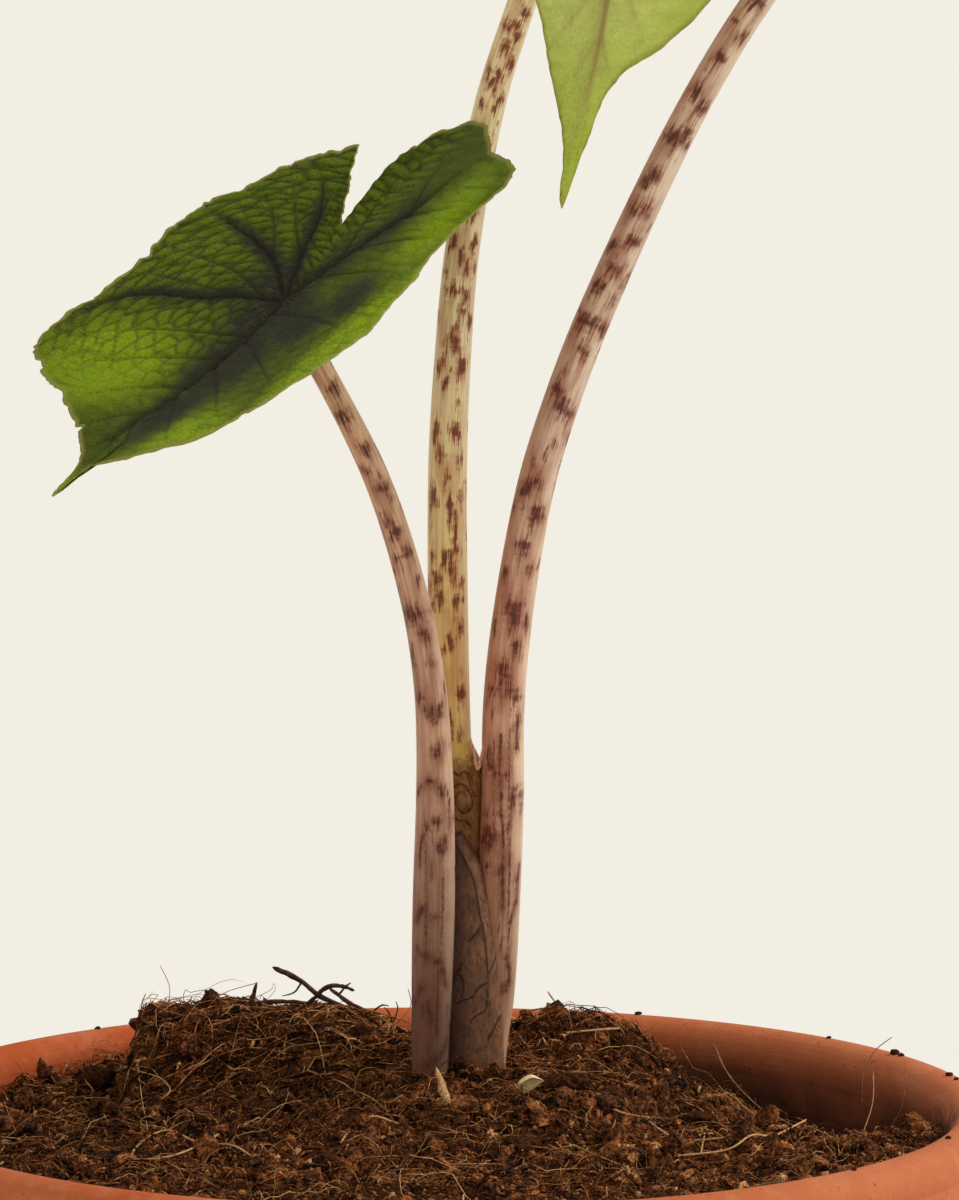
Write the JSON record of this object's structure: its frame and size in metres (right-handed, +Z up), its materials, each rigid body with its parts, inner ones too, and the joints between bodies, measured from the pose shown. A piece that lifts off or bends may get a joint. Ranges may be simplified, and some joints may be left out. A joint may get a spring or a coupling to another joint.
{
  "type": "potted jacklyn alocasia",
  "caption": "Young alocasia with heart-shaped leaf blades on long blotched petioles, rooted in fibrous potting mix in a round clay pot.",
  "frame": {"origin": "centre of the pot's flat underside", "axes": "+Z up along the pot's axis; the left leaf shows its upper side towards -Y"},
  "size_m": [0.1936, 0.156, 0.3391],
  "materials": {
    "terracotta": "unglazed fired clay",
    "potting_mix": "moist peat and coir",
    "corm": "rough brown skin",
    "mauve_petiole": "satin, blotched",
    "cream_petiole": "satin, blotched",
    "pink_petiole": "satin, blotched",
    "brown_sheath": "dry, veined",
    "olive_sheath": "thin, veined",
    "dark_leaf": "quilted, satin",
    "pale_leaf": "thin, translucent",
    "dark_wood": "rough bark",
    "pale_wood": "split fibre",
    "husk": "dry husk"
  },
  "bodies": {
    "root": {"terracotta_pot": "terracotta", "potting_mix": "potting_mix", "corm_with_roots": "corm", "left_petiole": "mauve_petiole", "centre_petiole": "cream_petiole", "right_petiole": "pink_petiole", "outer_cataphyll": "brown_sheath", "inner_sheath": "olive_sheath", "leaf_blade_left": "dark_leaf", "leaf_blade_centre": "pale_leaf", "leaf_blade_right": "dark_leaf", "forked_twig": "dark_wood", "dark_splinter": "dark_wood", "pale_splinter": "pale_wood", "bark_lump": "dark_wood", "seed_husk": "husk"}
  },
  "joints": []
}
